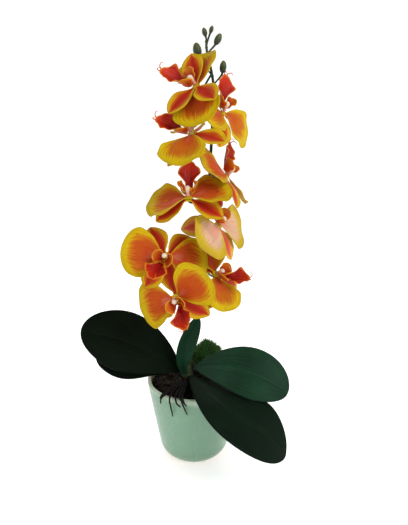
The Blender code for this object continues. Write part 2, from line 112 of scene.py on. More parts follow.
BUDS = (
    Bud(0.446, (0.0055, -0.0110, 0.4705), (-0.20, 0.0, 1.0), 0.0150, 0.0085),
    Bud(0.437, (0.0320, -0.0100, 0.4550), (0.10, 0.0, 1.0), 0.0125, 0.0070),
    Bud(0.466, (0.0265, -0.0130, 0.4805), (0.55, 0.0, 1.0), 0.0120, 0.0066),
    Bud(0.4785, (0.0130, -0.0135, 0.4870), (-0.30, 0.0, 1.0), 0.0085, 0.0050),
    Bud(0.473, (0.0198, -0.0130, 0.4895), (0.35, 0.0, 1.0), 0.0075, 0.0042),
)
# Each leaf: foot, middle and tip of its midrib, width, the way its face turns, fold, and tone. The tone is painted
# light and shade on one leaf colour: dark paints leaves 1 and 2 as in shade, teal paints leaves 3 and 5 as lit, and
# deep paints leaf 4 between the two.
Leaf = namedtuple("Leaf", "foot middle tip width face fold tone")
LEAVES = (
    Leaf(
        (-0.0165, -0.0040, 0.1100), (-0.0680, -0.022, 0.1515), (-0.1267, -0.032, 0.1744),
        0.068, (0.15, -0.80, 0.60), 0.08, "dark",
    ),
    Leaf(
        (-0.0165, 0.0035, 0.1065), (-0.0740, 0.012, 0.1215), (-0.1200, 0.004, 0.1165),
        0.064, (-0.1, -0.66, 0.75), 0.10, "dark",
    ),
    Leaf(
        (0.0005, 0.0010, 0.1115), (0.0572, -0.030, 0.1235), (0.1085, -0.043, 0.1015),
        0.063, (0.1, -0.62, 0.78), 0.08, "teal",
    ),
    Leaf(
        (-0.0040, -0.0090, 0.1045), (0.0470, -0.0765, 0.0970), (0.0995, -0.0945, 0.0625),
        0.074, (0.40, -0.45, 0.80), 0.08, "deep",
    ),
    Leaf(
        (-0.0125, -0.0090, 0.1080), (-0.0112, -0.0140, 0.1441), (0.0060, -0.006, 0.1800),
        0.022, (0.35, -0.94, 0.10), 0.70, "teal",
    ),
)
ROOTS = (
    ((-0.0185, -0.0110, 0.1010), (-0.0270, -0.0380, 0.1040), (-0.0350, -0.0485, 0.1022), (-0.0372, -0.0500, 0.0985)),
    ((-0.0165, -0.0140, 0.1010), (-0.0262, -0.0410, 0.1040), (-0.0355, -0.0505, 0.0995), (-0.0367, -0.0490, 0.0915)),
    ((-0.0145, -0.0160, 0.1010), (-0.0235, -0.0450, 0.1040), (-0.0262, -0.0553, 0.0985), (-0.0228, -0.0515, 0.0765)),
    ((-0.0120, -0.0160, 0.1010), (-0.0190, -0.0490, 0.1040), (-0.0185, -0.0585, 0.0985), (-0.0135, -0.0575, 0.0920)),
    ((-0.0095, -0.0160, 0.1010), (-0.0150, -0.0500, 0.1040), (-0.0118, -0.0600, 0.0985), (-0.0060, -0.0565, 0.0820)),
    ((-0.0070, -0.0160, 0.1010), (-0.0120, -0.0505, 0.1040), (-0.0098, -0.0600, 0.1000), (-0.0068, -0.0605, 0.0955)),
)


# ---------------------------------------------------------------- camera, light and floor
SKY_ON_PLANT = 0.38
FLOOR_HALF, FLOOR_FLAT, FLOOR_RISE = 2.8, 1.45, 0.55


def place_camera():
    data = bpy.data.cameras.new("camera")
    data.lens, data.sensor_width, data.clip_start = 31.2, 36, 0.01
    camera = bpy.data.objects.new("camera", data)
    camera.location = (0.0125, -0.513, 0.373)
    camera.rotation_euler = (math.radians(76), 0, 0)
    bpy.context.scene.collection.objects.link(camera)
    bpy.context.scene.camera = camera


def add_light(name, place, towards, size, power, colour):
    data = bpy.data.lights.new(name, "AREA")
    data.size, data.energy, data.color = size, power, colour
    light = bpy.data.objects.new(name, data)
    light.location = place
    light.rotation_euler = (Vector(towards) - Vector(place)).to_track_quat("-Z", "Y").to_euler()
    bpy.context.scene.collection.objects.link(light)


def set_studio():
    world = bpy.data.worlds.new("studio")
    world.use_nodes = True
    tree = world.node_tree
    light_path, level = tree.nodes.new("ShaderNodeLightPath"), tree.nodes.new("ShaderNodeMapRange")
    level.inputs["To Min"].default_value = SKY_ON_PLANT
    level.inputs["To Max"].default_value = 1.0
    tree.links.new(light_path.outputs["Is Camera Ray"], level.inputs["Value"])
    tree.nodes["Background"].inputs[0].default_value = (1.0, 1.0, 1.0, 1.0)
    tree.links.new(level.outputs[0], tree.nodes["Background"].inputs[1])
    bpy.context.scene.world = world
    bpy.context.scene.view_settings.view_transform = "Standard"
    middle = (0.0, -0.02, 0.26)
    add_light("window_light", (0.80, -0.80, 1.15), middle, 0.8, 14, (1.0, 0.99, 0.97))
    add_light("fill_light", (-0.95, -0.75, 0.60), middle, 1.1, 2.2, (0.97, 0.98, 1.0))
    add_light("back_light", (-0.30, 0.95, 1.00), middle, 0.8, 5, (1.0, 1.0, 1.0))
    shape = bmesh.new()
    bmesh.ops.create_grid(shape, x_segments=60, y_segments=60, size=FLOOR_HALF)
    for vertex in shape.verts:
        rise = max(0.0, math.hypot(vertex.co.x, vertex.co.y) - FLOOR_FLAT)
        vertex.co.z = FLOOR_RISE * rise**2
    mesh = bpy.data.meshes.new("studio_floor")
    shape.to_mesh(mesh)
    shape.free()
    mesh.shade_smooth()
    paper = Finish("floor_paper", {
        "Base Color": (0.92, 0.92, 0.91, 1.0), "Roughness": 0.9,
        "Emission Color": (1.0, 1.0, 1.0, 1.0), "Emission Strength": 0.50,
    })
    paper.relief(paper.noise(paper.place(), 300, 2), 0.05, 0.001)
    mesh.materials.append(paper.material)
    floor = bpy.data.objects.new("studio_floor", mesh)
    bpy.context.scene.collection.objects.link(floor)


# ---------------------------------------------------------------- finishes
class Finish:
    """One procedural finish. What is the same all over is set straight on the shader's own sockets."""

    def __init__(self, name, constants):
        self.material = bpy.data.materials.new(name)
        self.material.use_nodes = True
        self.tree = self.material.node_tree
        self.shader = self.tree.nodes["Principled BSDF"]
        for socket, value in constants.items():
            self.shader.inputs[socket].default_value = value

    def put(self, socket, value):
        if isinstance(value, bpy.types.NodeSocket):
            self.tree.links.new(value, socket)
        elif socket.type == "RGBA":
            socket.default_value = (*value[:3], 1.0)
        else:
            socket.default_value = value

    def node(self, kind, inputs, **settings):
        made = self.tree.nodes.new("ShaderNode" + kind)
        for key, value in settings.items():
            setattr(made, key, value)
        for socket, value in dict(inputs).items():
            self.put(made.inputs[socket], value)
        return made

    def calc(self, operation, *values):
        return self.node("Math", enumerate(values), operation=operation).outputs[0]

    def place(self, stretch=(1.0, 1.0, 1.0)):
        spot = self.node("TexCoord", {}).outputs["Object"]
        return self.node("Mapping", {"Vector": spot, "Scale": stretch}).outputs[0]

    def height(self):
        return self.node("SeparateXYZ", {0: self.place()}).outputs[2]

    def growth(self):
        """Shares across and along, from the piece's own map."""
        parts = self.node("SeparateXYZ", {0: self.node("UVMap", {}, uv_map="growth").outputs[0]})
        return parts.outputs[0], parts.outputs[1]

    def fan(self, across, along, spread, run, shift):
        return self.node(
            "CombineXYZ", {0: self.calc("MULTIPLY", across, spread), 1: self.calc("MULTIPLY", along, run), 2: shift}
        ).outputs[0]

    def side(self, across):
        """0 on the midline, 1 on either margin."""
        return self.calc("ABSOLUTE", self.calc("MULTIPLY_ADD", across, 2.0, -1.0))

    def sway(self, pattern, amount, share):
        """Pushes a share up and down by a pattern, about the pattern's middle."""
        return self.calc("MULTIPLY_ADD", self.calc("SUBTRACT", pattern, 0.5), amount, share)

    def noise(self, vector, scale, detail):
        return self.node("TexNoise", {"Vector": vector, "Scale": scale, "Detail": detail}).outputs[0]

    def lines(self, across, count, wander, power):
        """Fine lines that follow the growth: 1 on a line, 0 between."""
        turn = self.calc("ADD", self.calc("MULTIPLY", across, count * 2 * math.pi), wander)
        wave = self.calc("MULTIPLY_ADD", self.calc("SINE", turn), 0.5, 0.5)
        return self.calc("POWER", wave, power)

    def span(self, value, low, high, start=0.0, end=1.0):
        inputs = {0: value, 1: low, 2: high, 3: start, 4: end}
        return self.node("MapRange", inputs, interpolation_type="SMOOTHSTEP").outputs[0]

    def ramp(self, factor, *stops):
        made = self.node("ValToRGB", {0: factor})
        steps = made.color_ramp.elements
        steps[0].position, steps[0].color = stops[0][0], (*stops[0][1], 1.0)
        steps[1].position, steps[1].color = stops[-1][0], (*stops[-1][1], 1.0)
        for position, colour in stops[1:-1]:
            steps.new(position).color = (*colour, 1.0)
        return made.outputs[0]

    def tint(self, factor, one, other):
        return self.node("Mix", {0: factor, 6: one, 7: other}, data_type="RGBA").outputs[2]

    def colour(self, value):
        self.put(self.shader.inputs["Base Color"], value)

    def rough(self, value):
        self.put(self.shader.inputs["Roughness"], value)

    def relief(self, height, strength, depth):
        bump = self.node("Bump", {"Height": height, "Strength": strength, "Distance": depth})
        self.put(self.shader.inputs["Normal"], bump.outputs[0])


def petal_finish(name, heart, middle, body, outer, margin, vein, shift):
    """Printed petal: rosy at the heart, orange in the body, yellow at the margin, with veins that fan out."""
    finish = Finish(name, {"Specular IOR Level": 0.07, "Subsurface Weight": 0.08, "Subsurface Scale": 0.002})
    across, along = finish.growth()
    side = finish.side(across)
    streak = finish.noise(finish.fan(across, along, 30, 2.4, shift), 1.0, 4)
    slow = finish.noise(finish.fan(across, along, 5, 2.5, shift + 3), 1.0, 2)
    blot = finish.noise(finish.place(), 48, 2)
    reach = finish.calc("ADD", finish.calc("POWER", side, 3.2), finish.calc("POWER", along, 5.0))
    reach = finish.calc("SQRT", reach)
    share = finish.calc("MULTIPLY_ADD", reach, 0.70, finish.calc("MULTIPLY", along, 0.24))
    share = finish.sway(streak, 0.46, share)
    share = finish.sway(blot, 0.34, share)
    print_colour = finish.ramp(
        share, (0.02, heart), (0.13, middle), (0.25, body), (0.38, body), (0.51, outer), (0.67, margin),
        (0.97, [c * 0.85 for c in margin]),
    )
    line = finish.lines(across, 15, finish.calc("MULTIPLY", slow, 16.0), 4.0)
    shown = finish.calc("MULTIPLY", finish.span(along, 0.08, 0.5), finish.span(streak, 0.62, 0.42))
    line = finish.calc("MULTIPLY", line, shown)
    finish.colour(finish.tint(finish.calc("MULTIPLY", line, 0.45), print_colour, vein))
    finish.rough(finish.span(blot, 0.3, 0.7, 0.52, 0.68))
    weave = finish.noise(finish.place(), 1500, 1)
    finish.relief(finish.calc("MULTIPLY_ADD", weave, 0.25, finish.calc("ADD", line, streak)), 0.3, 0.0003)
    return finish


def sepal_finish(name, stripe, body, margin, shift):
    """A dark stripe along the fold, an orange body and yellow edges."""
    finish = Finish(name, {"Specular IOR Level": 0.07, "Subsurface Weight": 0.08, "Subsurface Scale": 0.002})
    across, along = finish.growth()
    side = finish.side(across)
    streak = finish.noise(finish.fan(across, along, 18, 2.2, shift), 1.0, 4)
    blot = finish.noise(finish.place(), 60, 2)
    share = finish.calc("MULTIPLY_ADD", finish.calc("POWER", along, 5.0), 0.55, finish.calc("MULTIPLY", side, 0.85))
    share = finish.sway(streak, 0.42, share)
    share = finish.sway(blot, 0.15, share)
    between = [0.6 * s + 0.4 * b for s, b in zip(stripe, body)]
    print_colour = finish.ramp(
        share, (0.20, stripe), (0.34, between), (0.50, body), (0.70, margin), (1.0, [c * 0.85 for c in margin])
    )
    line = finish.lines(across, 9, finish.calc("MULTIPLY", streak, 4.0), 4.0)
    line = finish.calc("MULTIPLY", line, finish.span(side, 1.0, 0.6))
    finish.colour(finish.tint(finish.calc("MULTIPLY", line, 0.45), print_colour, stripe))
    finish.rough(finish.span(blot, 0.3, 0.7, 0.52, 0.68))
    finish.relief(finish.calc("ADD", line, streak), 0.4, 0.0004)
    return finish


def lip_finish(name, base, tip, edge, shift):
    """Lobe of the lip: deeper at its base, with fine dark lines and an edge of another colour."""
    finish = Finish(name, {"Specular IOR Level": 0.2, "Subsurface Weight": 0.08, "Subsurface Scale": 0.002})
    across, along = finish.growth()
    side = finish.side(across)
    streak = finish.noise(finish.fan(across, along, 14, 3.0, shift), 1.0, 4)
    share = finish.sway(streak, 0.5, along)
    colour = finish.ramp(share, (0.0, base), (0.45, base), (0.85, tip), (1.0, tip))
    rim = finish.calc("ADD", finish.calc("POWER", side, 4.0), finish.calc("POWER", along, 8.0))
    rim = finish.span(finish.sway(streak, 0.6, rim), 0.45, 1.05)
    line = finish.lines(across, 8, finish.calc("MULTIPLY", streak, 5.0), 3.0)
    colour = finish.tint(finish.calc("MULTIPLY", line, 0.4), colour, [c * 0.45 for c in base])
    finish.colour(finish.tint(rim, colour, edge))
    finish.rough(finish.span(streak, 0.3, 0.7, 0.38, 0.55))
    finish.relief(finish.calc("ADD", line, streak), 0.5, 0.0004)
    return finish


def column_finish():
    """Cream column: rosy at its foot, with a few red specks."""
    finish = Finish("column_cream", {"Specular IOR Level": 0.5, "Subsurface Weight": 0.2, "Subsurface Scale": 0.002})
    _, along = finish.growth()
    cloud = finish.noise(finish.place(), 500, 3)
    share = finish.sway(cloud, 0.4, along)
    colour = finish.ramp(
        share, (0.05, (0.45, 0.10, 0.06)), (0.40, (0.56, 0.27, 0.19)), (0.70, (0.62, 0.45, 0.34)),
        (1.0, (0.67, 0.56, 0.45)),
    )
    speck = finish.span(finish.noise(finish.place(), 1400, 1), 0.66, 0.72, 0.0, 0.6)
    finish.colour(finish.tint(speck, colour, (0.35, 0.03, 0.02)))
    finish.rough(finish.span(cloud, 0.3, 0.7, 0.35, 0.5))
    finish.relief(cloud, 0.3, 0.0002)
    return finish


def leaf_finish(name, deep, light, gloss):
    """Dark leaf: fine lines that run its whole length, a paler midrib, soft clouds and a slight cloth grain."""
    finish = Finish(name, {"Specular IOR Level": gloss})
    across, along = finish.growth()
    side = finish.side(across)
    cloud = finish.noise(finish.place(), 26, 3)
    grain = finish.noise(finish.place(), 1100, 2)
    streak = finish.noise(finish.fan(across, along, 40, 1.5, 2.0), 1.0, 3)
    line = finish.lines(across, 30, finish.calc("MULTIPLY", streak, 3.0), 2.5)
    share = finish.calc("MULTIPLY_ADD", line, 0.16, finish.calc("MULTIPLY", cloud, 0.55))
    share = finish.calc("MULTIPLY_ADD", streak, 0.35, share)
    colour = finish.ramp(share, (0.25, deep), (0.85, light))
    rib = finish.span(side, 0.035, 0.0, 0.0, 0.35)
    colour = finish.tint(rib, colour, [c * 1.6 for c in light])
    rim = finish.span(side, 0.95, 1.0, 0.0, 0.35)
    finish.colour(finish.tint(rim, colour, [c * 0.6 for c in deep]))
    finish.rough(finish.span(finish.calc("ADD", cloud, finish.calc("MULTIPLY", grain, 0.3)), 0.4, 0.9, 0.46, 0.62))
    height = finish.calc("MULTIPLY_ADD", grain, 0.22, finish.calc("MULTIPLY_ADD", line, 0.5, streak))
    finish.relief(height, 0.5, 0.0004)
    return finish


def stem_finish():
    finish = Finish("stem_bark_green", {"Specular IOR Level": 0.15})
    cloud = finish.noise(finish.place((1.0, 1.0, 0.25)), 160, 4)
    fine = finish.noise(finish.place((1.0, 1.0, 0.12)), 1300, 3)
    colour = finish.ramp(
        cloud, (0.30, (0.012, 0.009, 0.005)), (0.50, (0.020, 0.028, 0.010)), (0.72, (0.038, 0.060, 0.016))
    )
    finish.colour(finish.tint(finish.span(fine, 0.45, 0.7, 0.0, 0.4), colour, (0.008, 0.006, 0.004)))
    finish.rough(finish.span(cloud, 0.3, 0.7, 0.45, 0.65))
    finish.relief(fine, 0.5, 0.0004)
    return finish


def bud_finish():
    finish = Finish("bud_green", {"Specular IOR Level": 0.25, "Subsurface Weight": 0.05, "Subsurface Scale": 0.002})
    across, along = finish.growth()
    cloud = finish.noise(finish.place(), 240, 3)
    line = finish.lines(across, 18, finish.calc("MULTIPLY", cloud, 3.0), 2.0)
    share = finish.sway(cloud, 0.5, along)
    colour = finish.ramp(
        share, (0.1, (0.010, 0.022, 0.007)), (0.55, (0.028, 0.052, 0.014)), (0.95, (0.090, 0.090, 0.020))
    )
    finish.colour(finish.tint(finish.calc("MULTIPLY", line, 0.35), colour, (0.05, 0.02, 0.01)))
    finish.rough(finish.span(cloud, 0.3, 0.7, 0.32, 0.5))
    finish.relief(line, 0.4, 0.0003)
    return finish


def root_finish():
    finish = Finish("root_dark", {"Specular IOR Level": 0.12})
    cloud = finish.noise(finish.place(), 350, 4)
    colour = finish.ramp(
        cloud, (0.3, (0.002, 0.002, 0.002)), (0.55, (0.006, 0.005, 0.004)), (0.8, (0.022, 0.017, 0.011))
    )
    finish.colour(colour)
    finish.rough(finish.span(cloud, 0.3, 0.7, 0.5, 0.8))
    finish.relief(finish.noise(finish.place(), 1500, 3), 0.6, 0.0004)
    return finish


def glaze_finish(name, thin, full, pooled):
    """Celadon glaze: thin and pale on the rim, full on the side, pooled towards the foot, with faint turning rings."""
    finish = Finish(name, {"Specular IOR Level": 0.35, "Coat Weight": 0.15, "Coat Roughness": 0.15})
    height = finish.height()
    cloud = finish.noise(finish.place((1.0, 1.0, 0.6)), 28, 3)
    speck = finish.noise(finish.place(), 900, 2)
    share = finish.sway(cloud, 0.022, height)
    share = finish.calc("MULTIPLY", share, 1 / POT_HEIGHT)
    colour = finish.ramp(share, (0.02, pooled), (0.25, full), (0.93, full), (0.985, thin))
    finish.colour(finish.tint(finish.span(speck, 0.62, 0.75, 0.0, 0.25), colour, [c * 0.6 for c in pooled]))
    finish.rough(finish.span(cloud, 0.3, 0.7, 0.20, 0.32))
    ring = finish.calc("SINE", finish.calc("MULTIPLY_ADD", height, 1500.0, finish.calc("MULTIPLY", cloud, 5.0)))
    finish.relief(finish.calc("MULTIPLY_ADD", ring, 0.25, cloud), 0.35, 0.0006)
    return finish


def bark_finish():
    finish = Finish("bark_chips", {"Specular IOR Level": 0.08})
    chip, _ = finish.growth()
    grain = finish.noise(finish.place((1.0, 0.25, 1.0)), 900, 4)
    share = finish.sway(grain, 0.6, chip)
    colour = finish.ramp(
        share, (0.0, (0.002, 0.0015, 0.001)), (0.45, (0.005, 0.004, 0.003)), (0.8, (0.020, 0.012, 0.007)),
        (1.0, (0.050, 0.029, 0.015)),
    )
    finish.colour(colour)
    finish.rough(finish.span(grain, 0.3, 0.7, 0.75, 0.95))
    finish.relief(grain, 0.8, 0.0008)
    return finish


def moss_finish():
    finish = Finish("moss_green", {"Specular IOR Level": 0.1, "Sheen Weight": 0.05})
    _, along = finish.growth()
    cloud = finish.noise(finish.place(), 160, 3)
    share = finish.sway(cloud, 0.7, along)
    colour = finish.ramp(
        share, (0.0, (0.004, 0.015, 0.003)), (0.5, (0.016, 0.062, 0.009)), (1.0, (0.065, 0.170, 0.020))
    )
    finish.colour(colour)
    finish.rough(finish.span(cloud, 0.3, 0.7, 0.75, 0.95))
    finish.relief(finish.noise(finish.place(), 1600, 2), 0.5, 0.0004)
    return finish


# ---------------------------------------------------------------- shaping helpers
def new_shape():
    shape = bmesh.new()
    shape.loops.layers.uv.new("growth")
    return shape


def mark(shape, spots):
    """Writes each vertex's share across and along into the piece's map."""
    chart = shape.loops.layers.uv["growth"]
    for vertex, spot in spots.items():
        for loop in vertex.link_loops:
            loop[chart].uv = spot


def settle(name, shape, finishes, nodes=(), sheet=None, sharp=60):
    """Turns a shape into a piece that rides with the plant, wears its finishes and stands for its CAD nodes."""
    bmesh.ops.recalc_face_normals(shape, faces=shape.faces)
    mesh = bpy.data.meshes.new(name)
    shape.to_mesh(mesh)
    shape.free()
    for finish in finishes:
        mesh.materials.append(finish.material)
    mesh.shade_smooth()
    mesh.set_sharp_from_angle(angle=math.radians(sharp))
    piece = bpy.data.objects.new(name, mesh)
    bpy.context.scene.collection.objects.link(piece)
    if sheet:
        thick = piece.modifiers.new("thickness", "SOLIDIFY")
        thick.thickness, thick.offset = sheet, 0.0
    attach(piece, "root")
    if nodes:
        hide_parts(*nodes)


def outline(share, bluntness, lean):
    """Half width of a petal or leaf at a share of its length, as a share of its greatest half width."""
    def rise(t):
        return math.sin(math.pi * t) ** bluntness * t**lean

    greatest = max(rise(k / 40) for k in range(1, 40))
    return rise(min(max(share, 1e-4), 1 - 1e-4)) / greatest


def bell(value, middle, width):
    return math.exp(-(((value - middle) / width) ** 2))


# A blade's place, size and surface come first. How its kind grows comes last: rows, columns, bluntness and lean of
# its outline, least half width at the neck, curl backwards along it and cup across it.
Blade = namedtuple(
    "Blade", "angle bend twist length width start relief trim layer rows columns bluntness lean neck curl cup"
)
PETAL_GROWTH = (46, 38, 0.52, 0.30, 0.0030, 0.004, 0.003)
SEPAL_GROWTH = (34, 20, 0.70, 0.20, 0.0024, 0.003, 0.0015)
TONGUE_GROWTH = (36, 24, 0.55, 0.30, 0.0020, -0.004, 0.003)
EAR_GROWTH = (22, 16, 0.60, 0.35, 0.0016, 0.0, 0.0)


def grow_blade(shape, blade, place):
    """Grows one petal, sepal or lip lobe from a grid, and returns the vertices of its root row."""
    turn = (
        place
        @ Matrix.Rotation(math.radians(blade.angle - 90), 4, "Z")
        @ Matrix.Translation((0, blade.start, 0))
        @ Matrix.Rotation(math.radians(blade.bend), 4, "X")
    )
    made = bmesh.ops.create_grid(shape, x_segments=blade.columns, y_segments=blade.rows, size=1.0)["verts"]
    spots, root = {}, []
    for vertex in made:
        across, along = vertex.co.x, (1 - math.cos(math.pi * (vertex.co.y + 1) / 2)) / 2
        profile = outline(along, blade.bluntness, blade.lean)
        half = max(blade.neck if along < 0.3 else 0.0004, blade.width / 2 * profile * blade.trim(across, along))
        height = -blade.curl * along**2 + blade.cup * across**2 * math.sin(math.pi * along)
        height += blade.relief(across * profile, along) * min(1.0, 5 * along)
        twist = Matrix.Rotation(math.radians(blade.twist * min(1.0, 3 * along)), 4, "Y")
        vertex.co = turn @ twist @ Vector((across * half, along * blade.length, height))
        spots[vertex] = ((across + 1) / 2, along)
        if along < 1e-6:
            root.append((across, vertex))
        for face in vertex.link_faces:
            face.material_index = blade.layer
    mark(shape, spots)
    return [vertex for _, vertex in sorted(root, key=lambda pair: -pair[0])]


def grow_whorl(blades, place):
    """Blades grown together round a small plate in the middle."""
    shape = new_shape()
    ring = []
    for blade in sorted(blades, key=lambda b: b.angle % 360):
        ring += grow_blade(shape, blade, place)
    shape.faces.new(ring)
    return shape


def taper(thick, thin, count):
    return [thick + (thin - thick) * k / (count - 1) for k in range(count)]


def stand(way):
    """The turn that points +Z the given way."""
    return Vector((0, 0, 1)).rotation_difference(way).to_matrix().to_4x4()


def sweep(shape, route, radii, sides):
    """A round shoot: a ring extruded from point to point along the route, closed at both ends."""
    ways = [(b - a).normalized() for a, b in zip(route, route[1:])]
    ways = [ways[0], *[(a + b).normalized() for a, b in zip(ways, ways[1:])], ways[-1]]
    turn, places = Vector((0, 0, 1)).rotation_difference(ways[0]), []
    for step, (point, way, radius) in enumerate(zip(route, ways, radii)):
        if step:
            turn = ways[step - 1].rotation_difference(way) @ turn
        places.append(Matrix.LocRotScale(point, turn, (radius, radius, radius)))
    ring = bmesh.ops.create_circle(shape, segments=sides, radius=1.0, matrix=places[0])["verts"]
    first = edges = list({edge for vertex in ring for edge in vertex.link_edges})
    for before, after in zip(places, places[1:]):
        made = bmesh.ops.extrude_edge_only(shape, edges=edges)["geom"]
        ring = {item for item in made if isinstance(item, bmesh.types.BMVert)}
        edges = [item for item in made if isinstance(item, bmesh.types.BMEdge) and ring.issuperset(item.verts)]
        bmesh.ops.transform(shape, matrix=after @ before.inverted(), verts=list(ring))
    bmesh.ops.holes_fill(shape, edges=first + edges, sides=0)


def smooth_route(points, steps):
    """A Catmull-Rom curve through the points, with steps stretches between each two."""
    points = [Vector(p) for p in points]
    ends = [points[0] * 2 - points[1], *points, points[-1] * 2 - points[-2]]
    route = []
    for i in range(len(points) - 1):
        a, b, c, d = ends[i : i + 4]
        for k in range(steps):
            t = k / steps
            bend = (2 * a - 5 * b + 4 * c - d) * t**2 + (3 * b - a - 3 * c + d) * t**3
            route.append(0.5 * (2 * b + (c - a) * t + bend))
    return [*route, points[-1]]


def bezier_route(start, start_pull, end_pull, end, steps):
    shares = [k / steps for k in range(steps + 1)]
    return [
        start * (1 - t) ** 3 + start_pull * 3 * t * (1 - t) ** 2 + end_pull * 3 * t**2 * (1 - t) + end * t**3
        for t in shares
    ]


def point_on_route(route, height):
    for low, high in zip(route, route[1:]):
        if low.z <= height <= high.z:
            return low.lerp(high, (height - low.z) / (high.z - low.z)), (high - low).normalized()
    return route[-1], (route[-1] - route[-2]).normalized()


# ---------------------------------------------------------------- flowers
def flower_matrix(flower):
    """The flower's own frame: +X to its right, +Y away from the lip, +Z the way it faces."""
    return (
        Matrix.Translation(flower.centre)
        @ Matrix.Rotation(math.radians(flower.facing), 4, "Z")
        @ Matrix.Rotation(math.radians(90 - flower.rise), 4, "X")
        @ Matrix.Rotation(math.radians(flower.turn), 4, "Z")
    )


def petal_relief(seed):
    def relief(across, along):
        crumple = 0.0014 * noise.noise(Vector((across * 1.6 + 9 * seed, along * 2.6, seed)))
        ruffle = 0.0013 * abs(across) ** 4 * math.sin(along * 15 + 2.3 * seed + across)
        tip = 0.0010 * along**6 * math.sin(across * 5 + 1.7 * seed)
        pleat = 0.00022 * math.cos(across * 6 * math.pi) * math.sin(math.pi * along)
        groove = -0.0006 * bell(across, 0, 0.10) * math.sin(math.pi * along)
        return crumple + ruffle + tip + pleat + groove
    return relief


def petal_trim(seed):
    def trim(across, along):
        return 1 + 0.020 * math.sin(12 * along + 3 * seed + (2 if across > 0 else 0))
    return trim


def sepal_relief(seed):
    def relief(across, along):
        fold = 0.0014 * (abs(across) - 0.5) * math.sin(math.pi * along)
        crumple = 0.0008 * noise.noise(Vector((across * 1.4 + 5 * seed, along * 3.0, seed + 4)))
        return fold + crumple + 0.0007 * abs(across) ** 3 * math.sin(along * 11 + 2.9 * seed)
    return relief


def tongue_relief(seed):
    def relief(across, along):
        ruffle = 0.0017 * abs(across) ** 3 * math.sin(along * 19 + seed + (1.3 if across > 0 else 0))
        keel = -0.0012 * bell(across, 0, 0.22) * math.sin(math.pi * along)
        return ruffle + keel + 0.0030 * across**2 * math.sin(math.pi * along)
    return relief


def tongue_trim(across, along):
    return 1 - 0.42 * bell(along, 0.28, 0.14) + 0.16 * bell(along, 0.62, 0.14) - 0.20 * bell(along, 0.86, 0.07)


def ear_relief(seed):
    def relief(across, along):
        roll = 0.0034 * across**2 * math.sin(math.pi * along) + 0.0022 * along**3
        return roll + 0.0014 * abs(across) ** 3 * math.sin(along * 14 + 2 * seed)
    return relief


def plain_trim(across, along):
    return 1.0


def make_flower(number, flower, finishes):
    """One open flower: a pair of petals, three sepals, the lip with its tendrils, and the column."""
    name, matrix = f"flower_{number}", flower_matrix(flower)
    in_front = flower.front == "petals"
    blades = [
        Blade(
            angle, bend, twist, PETAL_LENGTH - HUB_RADIUS, PETAL_WIDTH, HUB_RADIUS,
            petal_relief(number + 0.31 * side), petal_trim(number + 0.31 * side), 0, *PETAL_GROWTH,
        )
        for side, (angle, bend, twist) in enumerate(flower.petals)
    ]
    shape = grow_whorl(blades, matrix @ Matrix.Translation((0, 0, FRONT_DEPTH if in_front else BACK_DEPTH)))
    print_finish = finishes[f"petal_{flower.tone}"]
    settle(f"{name}_petal_pair", shape, [print_finish], [f"{name}_petals"], PETAL_SHEET)

    blades = [
        Blade(
            angle, bend, twist, SEPAL_LENGTH - HUB_RADIUS, SEPAL_WIDTH, HUB_RADIUS,
            sepal_relief(number + 0.23 * side), plain_trim, 0, *SEPAL_GROWTH,
        )
        for side, (angle, bend, twist) in enumerate(flower.sepals)
    ]
    shape = grow_whorl(blades, matrix @ Matrix.Translation((0, 0, BACK_DEPTH if in_front else FRONT_DEPTH)))
    print_finish = finishes[f"sepal_{flower.tone}"]
    settle(f"{name}_sepal_whorl", shape, [print_finish], [f"{name}_sepals"], PETAL_SHEET)

    blades = [
        Blade(
            270, LIP_BEND, 0, LIP_LENGTH - LIP_START, LIP_WIDTH, LIP_START,
            tongue_relief(number), tongue_trim, 0, *TONGUE_GROWTH,
        )
    ]
    blades += [
        Blade(
            angle, EAR_BEND, 0, EAR_LENGTH - LIP_START, EAR_WIDTH, LIP_START,
            ear_relief(seed), plain_trim, 1, *EAR_GROWTH,
        )
        for angle, seed in ((10, number), (170, number + 1))
    ]
    place = matrix @ Matrix.Translation((0, -LIP_BELOW, COLUMN_BASE + CAD_SHEET / 2))
    lobes = [finishes["lip_tongue"], finishes["lip_ear"]]
    settle(f"{name}_lip_lobes", grow_whorl(blades, place), lobes, [f"{name}_lip"], PETAL_SHEET)
    make_tendrils(name, place, finishes)
    make_column(name, matrix, finishes)


# Right-hand routes, as (outwards, beyond the tip or from the lip's start, up from the lip).
TENDRIL_ROUTE = (
    (0.0012, 0.0, 0.0038), (0.0026, 0.0022, 0.0052), (0.0040, 0.0026, 0.0078), (0.0042, 0.0008, 0.0100),
    (0.0030, -0.0008, 0.0104),
)
CALLUS_ROUTE = ((0.0005, 0.0015, 0.0005), (0.0010, 0.0030, 0.0022), (0.0016, 0.0044, 0.0034))


def make_tendrils(name, place, finishes):
    """The two curled tendrils at the tip of the lip, and the small forked callus where its lobes meet."""
    turn = place @ Matrix.Rotation(math.pi, 4, "Z") @ Matrix.Translation((0, LIP_START, 0))
    turn = turn @ Matrix.Rotation(math.radians(LIP_BEND), 4, "X")
    shape, tip = new_shape(), LIP_LENGTH - LIP_START - 0.001
    for side in (-1, 1):
        for points, base, steps, thick, thin in (
            (TENDRIL_ROUTE, tip, 4, 0.00062, 0.00020), (CALLUS_ROUTE, 0.0, 3, 0.0010, 0.0004)
        ):
            route = smooth_route([turn @ Vector((side * x, base + y, z)) for x, y, z in points], steps)
            sweep(shape, route, taper(thick, thin, len(route)), 7)
    settle(f"{name}_lip_tendrils", shape, [finishes["tendril"]])


